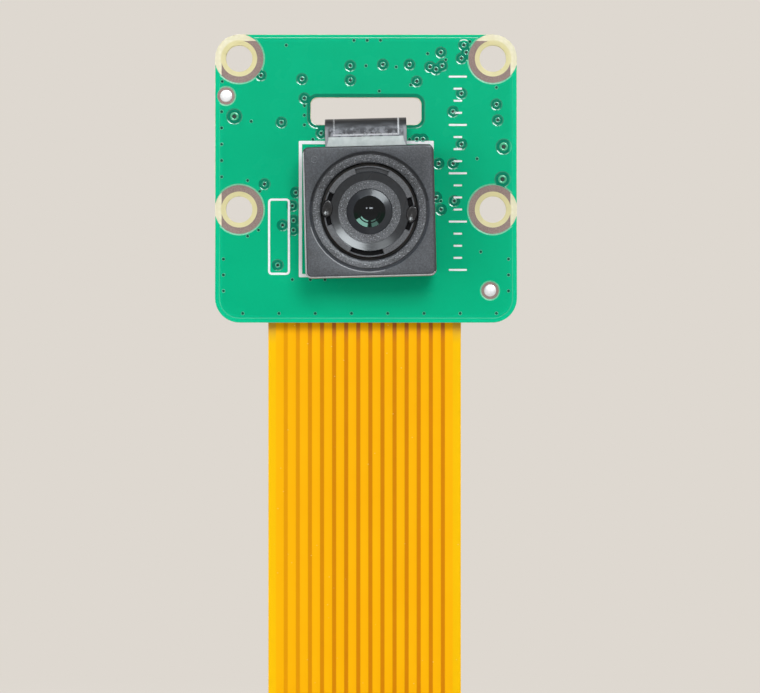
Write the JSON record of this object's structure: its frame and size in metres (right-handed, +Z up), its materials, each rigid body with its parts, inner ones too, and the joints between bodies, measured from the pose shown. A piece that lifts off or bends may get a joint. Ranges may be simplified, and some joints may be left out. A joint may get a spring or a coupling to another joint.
{
  "type": "autofocus camera board",
  "caption": "Small green camera board with a square autofocus lens module on the front and a flat amber ribbon cable in a latched connector behind.",
  "frame": {"origin": "where the nominal lens axis meets the back face of the circuit board", "axes": "-Y is the way the lens looks, +X is to the right as seen from the lens side, +Z is up and the cable hangs down -Z"},
  "size_m": [0.025, 0.0247, 0.0711],
  "materials": {
    "board_green": "green solder mask on glass-fibre laminate",
    "foam": "grey foam",
    "silicon": "polished die",
    "black_plastic": "fine moulded texture",
    "black_glue": "glossy black",
    "clear_glass": "coated optical glass",
    "spring_steel": "plain",
    "magnet_metal": "nickel plated",
    "copper_wire": "enamelled winding",
    "tin_plate": "tin plated",
    "dark_flex": "dark shielded film",
    "pale_glue": "milky cured glue",
    "ivory_plastic": "moulded",
    "amber_film": "polyimide film over copper tracks",
    "blue_film": "stiffener film",
    "tie_black": "soft strap"
  },
  "bodies": {
    "board": {"circuit_board": "board_green", "module_adhesive": "foam", "module_board": "board_green", "image_sensor": "silicon", "filter_holder": "black_plastic", "infrared_filter": "clear_glass", "motor_base": "black_plastic", "lower_spring": "spring_steel", "upper_spring": "spring_steel", "upper_frame": "black_plastic", "module_cover": "black_plastic", "sensor_flex": "dark_flex", "flex_glue_bead": "pale_glue", "flex_stiffener": "spring_steel", "flex_plug": "black_glue", "board_socket": "black_plastic", "connector_housing": "ivory_plastic", "hold_down_left": "tin_plate", "hold_down_right": "tin_plate", "cable_stretch": "amber_film", "cable_roll": "amber_film", "near_stiffener": "blue_film", "far_stiffener": "blue_film", "cable_tie": "tie_black", "oscillator": "tin_plate", "magnet_top": "magnet_metal", "magnet_bottom": "magnet_metal", "magnet_left": "magnet_metal", "magnet_right": "magnet_metal", "contact_01": "tin_plate", "contact_02": "tin_plate", "contact_03": "tin_plate", "contact_04": "tin_plate", "contact_05": "tin_plate", "contact_06": "tin_plate", "contact_07": "tin_plate", "contact_08": "tin_plate", "contact_09": "tin_plate", "contact_10": "tin_plate", "contact_11": "tin_plate", "contact_12": "tin_plate", "contact_13": "tin_plate", "contact_14": "tin_plate", "contact_15": "tin_plate", "regulator_1": "black_glue", "regulator_2": "black_glue", "regulator_3": "black_glue"},
    "lens": {"lens_carrier": "black_plastic", "voice_coil": "copper_wire", "lens_barrel": "black_plastic", "front_lens": "clear_glass", "second_lens": "clear_glass", "third_lens": "clear_glass", "rear_lens": "clear_glass", "retaining_ring": "black_plastic", "aperture_stop": "black_plastic", "glue_dot_left": "black_glue", "glue_dot_right": "black_glue"},
    "latch": {"connector_latch": "black_plastic"}
  },
  "joints": [
    {"name": "lens_focus", "type": "slide", "parent": "board", "child": "lens", "axis": [0, -1, 0], "range_m": [0, 0.0004], "stiffness_N_per_m": 60, "deforming": ["lower_spring", "upper_spring"]},
    {"name": "latch_slide", "type": "slide", "parent": "board", "child": "latch", "axis": [0, 0, -1], "range_m": [0, 0.0012]}
  ]
}
